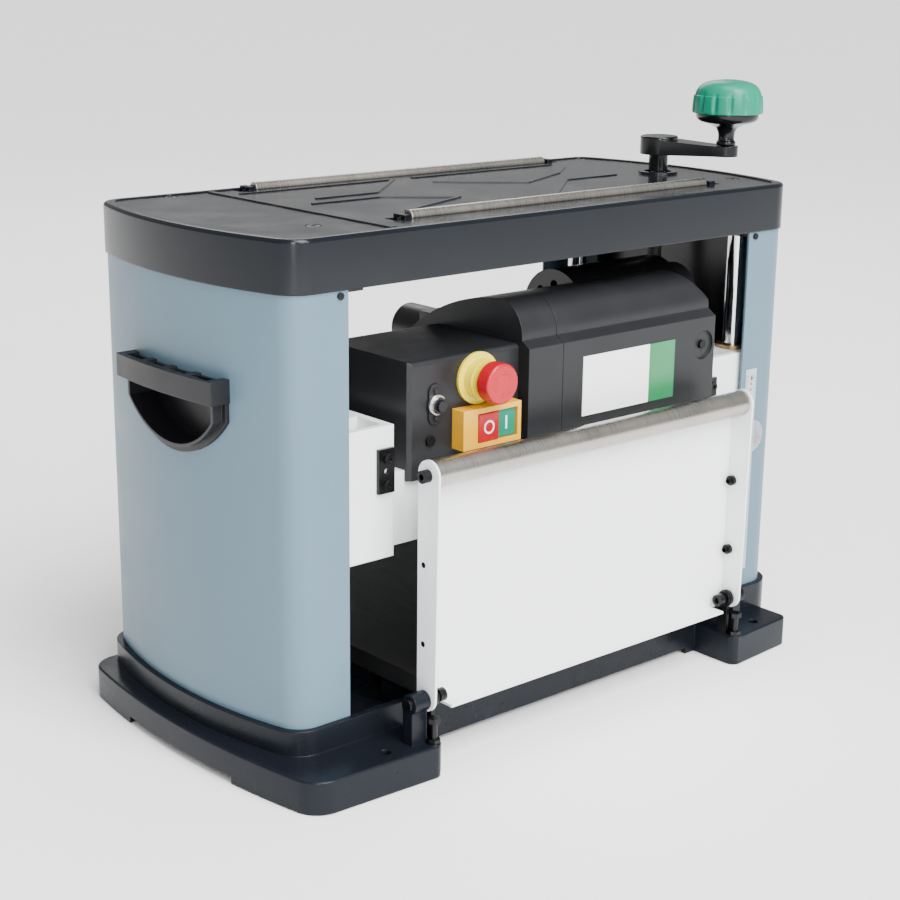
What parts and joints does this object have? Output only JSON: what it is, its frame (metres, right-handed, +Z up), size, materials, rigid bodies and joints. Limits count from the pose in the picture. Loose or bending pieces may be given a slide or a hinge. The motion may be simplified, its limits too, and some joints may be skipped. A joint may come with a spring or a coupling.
{
  "type": "thickness planer",
  "caption": "Portable thickness planer with a hand-cranked planing head on guide columns, folding feed tables, side carrying handles and stock-return rollers on its cap.",
  "frame": {"origin": "middle of the footprint, on the floor", "axes": "+Z up; the infeed side, with the switches, faces -Y; the crank stands at the +X end"},
  "size_m": [0.584, 0.343, 0.4768],
  "materials": {
    "blue_paint": "satin",
    "base_black": "satin",
    "cap_gloss": "gloss",
    "housing_dark": "satin",
    "black_plastic": "matte",
    "white_cast": "white coated casting",
    "motor_black": "gloss",
    "white_coat": "satin",
    "steel": "satin",
    "dark_steel": "blackened",
    "chrome": "polished",
    "zinc": "zinc plated",
    "bronze": "machined",
    "rubber": "matte",
    "green_plastic": "satin",
    "red_plastic": "satin",
    "yellow_plastic": "satin",
    "label": "printed film",
    "scale_film": "printed film",
    "lens": "clear"
  },
  "bodies": {
    "base": {"base_frame": "base_black", "rubber_pads": "rubber", "bed_plate": "steel", "left_cover": "blue_paint", "right_cover": "blue_paint", "carry_handles": "black_plastic", "side_frames": "motor_black", "guide_columns": "chrome", "screw_bearings": "dark_steel", "thickness_scale": "scale_film", "top_cap": "cap_gloss", "frame_fasteners": "dark_steel", "hinge_brackets": "dark_steel", "table_bolts": "dark_steel", "sync_chain": "dark_steel"},
    "crank": {"right_lead_screw": "steel", "crank_arm": "dark_steel"},
    "knob": {"knob_base": "black_plastic", "knob_cap": "green_plastic"},
    "left_screw": {"left_lead_screw": "steel"},
    "head": {"head_casting": "white_cast", "head_bearings": "bronze", "head_brackets": "dark_steel", "feed_springs": "zinc", "feed_chain": "dark_steel", "feed_gearbox": "white_cast", "motor_housing": "motor_black", "drive_belt": "rubber", "belt_cover": "black_plastic", "front_housing": "housing_dark", "middle_housing": "housing_dark", "switch_box": "housing_dark", "name_plate": "label", "stop_collar": "yellow_plastic", "switch_frame": "yellow_plastic", "breaker_body": "black_plastic", "dust_hood": "black_plastic", "scale_pointer": "lens"},
    "cutter": {"cutterhead": "steel", "planer_knives": "steel", "knife_clamps": "dark_steel"},
    "rotor": {"motor_rotor": "steel"},
    "feed_drive": {"feed_drive_sprocket": "dark_steel"},
    "infeed_carriage": {"infeed_bearing_blocks": "bronze"},
    "outfeed_carriage": {"outfeed_bearing_blocks": "bronze"},
    "infeed_roll": {"infeed_roller": "rubber"},
    "outfeed_roll": {"outfeed_roller": "rubber"},
    "infeed_table": {"front_table": "white_coat", "front_table_hardware": "dark_steel"},
    "outfeed_table": {"rear_table": "white_coat", "rear_table_hardware": "dark_steel"},
    "infeed_table_roll": {"front_table_roller": "steel"},
    "outfeed_table_roll": {"rear_table_roller": "steel"},
    "front_return_roll": {"front_top_roller": "steel"},
    "rear_return_roll": {"rear_top_roller": "steel"},
    "stop_control": {"stop_stem": "black_plastic", "stop_button": "red_plastic"},
    "off_control": {"off_button": "red_plastic"},
    "on_control": {"on_button": "green_plastic"},
    "breaker_control": {"breaker_button": "black_plastic"}
  },
  "joints": [
    {"name": "crank_turn", "type": "hinge", "parent": "base", "child": "crank", "pos_m": [0.222, -0.006, 0.2], "axis": [0, 0, 1], "range_deg": [-9721, 16561]},
    {"name": "knob_spin", "type": "hinge", "parent": "crank", "child": "knob", "pos_m": [0.24544, -0.06123, 0.445], "axis": [0, 0, 1], "continuous": true},
    {"name": "left_screw_turn", "type": "hinge", "parent": "base", "child": "left_screw", "pos_m": [-0.222, -0.006, 0.2], "axis": [0, 0, 1], "range_deg": [-9721, 16561]},
    {"name": "head_lift", "type": "slide", "parent": "base", "child": "head", "axis": [0, 0, 1], "range_m": [-0.092, 0.054]},
    {"name": "cutter_spin", "type": "hinge", "parent": "head", "child": "cutter", "pos_m": [0, 0, 0.185], "axis": [1, 0, 0], "continuous": true},
    {"name": "motor_spin", "type": "hinge", "parent": "head", "child": "rotor", "pos_m": [0, -0.05, 0.298], "axis": [1, 0, 0], "continuous": true},
    {"name": "feed_drive_spin", "type": "hinge", "parent": "head", "child": "feed_drive", "pos_m": [0, 0.024, 0.207], "axis": [1, 0, 0], "continuous": true},
    {"name": "infeed_float", "type": "slide", "parent": "head", "child": "infeed_carriage", "axis": [0, 0, 1], "range_m": [0, 0.003], "stiffness_N_per_m": 6000, "springref_m": -0.004, "deforming": ["feed_springs", "feed_chain"]},
    {"name": "outfeed_float", "type": "slide", "parent": "head", "child": "outfeed_carriage", "axis": [0, 0, 1], "range_m": [0, 0.003], "stiffness_N_per_m": 6000, "springref_m": -0.004, "deforming": ["feed_springs", "feed_chain"]},
    {"name": "infeed_spin", "type": "hinge", "parent": "infeed_carriage", "child": "infeed_roll", "pos_m": [0, -0.054, 0.176], "axis": [1, 0, 0], "continuous": true},
    {"name": "outfeed_spin", "type": "hinge", "parent": "outfeed_carriage", "child": "outfeed_roll", "pos_m": [0, 0.054, 0.176], "axis": [1, 0, 0], "continuous": true},
    {"name": "infeed_table_fold", "type": "hinge", "parent": "base", "child": "infeed_table", "pos_m": [0, -0.1575, 0.0575], "axis": [1, 0, 0], "range_deg": [0, 90]},
    {"name": "outfeed_table_fold", "type": "hinge", "parent": "base", "child": "outfeed_table", "pos_m": [0, 0.1575, 0.0575], "axis": [-1, 0, 0], "range_deg": [0, 90]},
    {"name": "infeed_table_roller_spin", "type": "hinge", "parent": "infeed_table", "child": "infeed_table_roll", "pos_m": [0, -0.1587, 0.2265], "axis": [1, 0, 0], "continuous": true},
    {"name": "outfeed_table_roller_spin", "type": "hinge", "parent": "outfeed_table", "child": "outfeed_table_roll", "pos_m": [0, 0.1587, 0.2265], "axis": [1, 0, 0], "continuous": true},
    {"name": "front_return_roller_spin", "type": "hinge", "parent": "base", "child": "front_return_roll", "pos_m": [0, -0.082, 0.3944], "axis": [1, 0, 0], "continuous": true},
    {"name": "rear_return_roller_spin", "type": "hinge", "parent": "base", "child": "rear_return_roll", "pos_m": [0, 0.112, 0.3944], "axis": [1, 0, 0], "continuous": true},
    {"name": "stop_press", "type": "slide", "parent": "head", "child": "stop_control", "axis": [0, 1, 0], "range_m": [0, 0.004], "stiffness_N_per_m": 600},
    {"name": "off_press", "type": "slide", "parent": "head", "child": "off_control", "axis": [0, 1, 0], "range_m": [0, 0.0025], "stiffness_N_per_m": 400},
    {"name": "on_press", "type": "slide", "parent": "head", "child": "on_control", "axis": [0, 1, 0], "range_m": [0, 0.0025], "stiffness_N_per_m": 400},
    {"name": "breaker_press", "type": "slide", "parent": "head", "child": "breaker_control", "axis": [0, 1, 0], "range_m": [0, 0.0016], "stiffness_N_per_m": 400}
  ],
  "couplings": [
    {"joint": "crank_turn", "follows": "head_lift", "rad_per_m": -3141.6},
    {"joint": "left_screw_turn", "follows": "head_lift", "rad_per_m": -3141.6},
    {"joint": "motor_spin", "follows": "cutter_spin", "ratio": 0.77778},
    {"joint": "infeed_spin", "follows": "cutter_spin", "ratio": -0.009},
    {"joint": "outfeed_spin", "follows": "cutter_spin", "ratio": -0.009},
    {"joint": "feed_drive_spin", "follows": "cutter_spin", "ratio": -0.0135}
  ]
}
